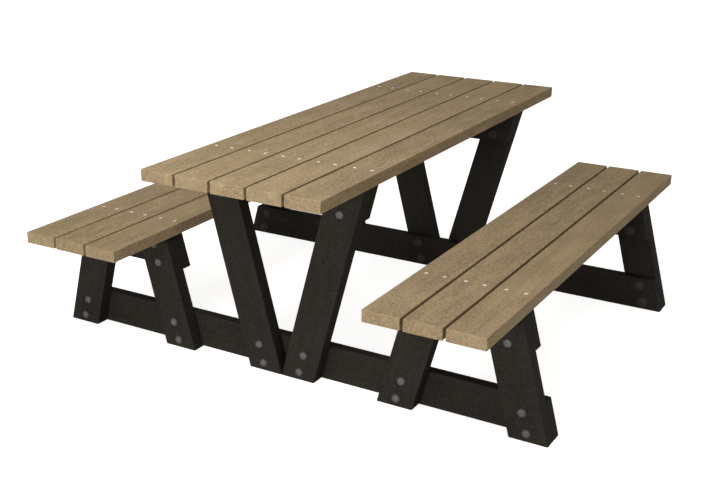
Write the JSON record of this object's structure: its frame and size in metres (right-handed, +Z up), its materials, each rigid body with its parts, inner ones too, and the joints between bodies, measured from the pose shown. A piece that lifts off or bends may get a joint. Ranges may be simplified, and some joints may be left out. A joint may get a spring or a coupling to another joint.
{
  "type": "picnic table",
  "caption": "Walk-through picnic table: a plank table top and two plank seats, screwed to cleats and bolted to end frames of leaning legs with ground rails.",
  "frame": {"origin": "on the ground, at the centre of the footprint", "axes": "+X across the table from the left seat to the right seat, +Y along the planks from the front frame to the rear frame, +Z up"},
  "size_m": [1.9278, 1.875, 0.755],
  "materials": {
    "tan_lumber": "tan recycled plastic lumber, matt, fine mottled grain",
    "black_lumber": "black recycled plastic lumber, matt, fine mottled grain",
    "galvanised_steel": "dull hot-dip galvanised",
    "screw_steel": "plain stainless",
    "cap_plastic": "moulded black, satin"
  },
  "bodies": {
    "root": {"table_plank_1": "tan_lumber", "table_plank_2": "tan_lumber", "table_plank_3": "tan_lumber", "table_plank_4": "tan_lumber", "table_plank_5": "tan_lumber", "left_seat_plank_1": "tan_lumber", "left_seat_plank_2": "tan_lumber", "left_seat_plank_3": "tan_lumber", "right_seat_plank_1": "tan_lumber", "right_seat_plank_2": "tan_lumber", "right_seat_plank_3": "tan_lumber", "front_base_rail": "black_lumber", "rear_base_rail": "black_lumber", "front_table_cleat": "black_lumber", "rear_table_cleat": "black_lumber", "front_left_seat_cleat": "black_lumber", "front_right_seat_cleat": "black_lumber", "rear_left_seat_cleat": "black_lumber", "rear_right_seat_cleat": "black_lumber", "front_left_table_leg": "black_lumber", "front_right_table_leg": "black_lumber", "rear_left_table_leg": "black_lumber", "rear_right_table_leg": "black_lumber", "front_left_outer_seat_leg": "black_lumber", "front_left_inner_seat_leg": "black_lumber", "front_right_outer_seat_leg": "black_lumber", "front_right_inner_seat_leg": "black_lumber", "rear_left_outer_seat_leg": "black_lumber", "rear_left_inner_seat_leg": "black_lumber", "rear_right_outer_seat_leg": "black_lumber", "rear_right_inner_seat_leg": "black_lumber", "front_bolts": "galvanised_steel", "front_washers": "galvanised_steel", "front_nuts": "galvanised_steel", "rear_bolts": "galvanised_steel", "rear_washers": "galvanised_steel", "rear_nuts": "galvanised_steel", "front_nut_caps": "cap_plastic", "rear_nut_caps": "cap_plastic", "table_screws": "screw_steel", "left_seat_screws": "screw_steel", "right_seat_screws": "screw_steel"}
  },
  "joints": []
}
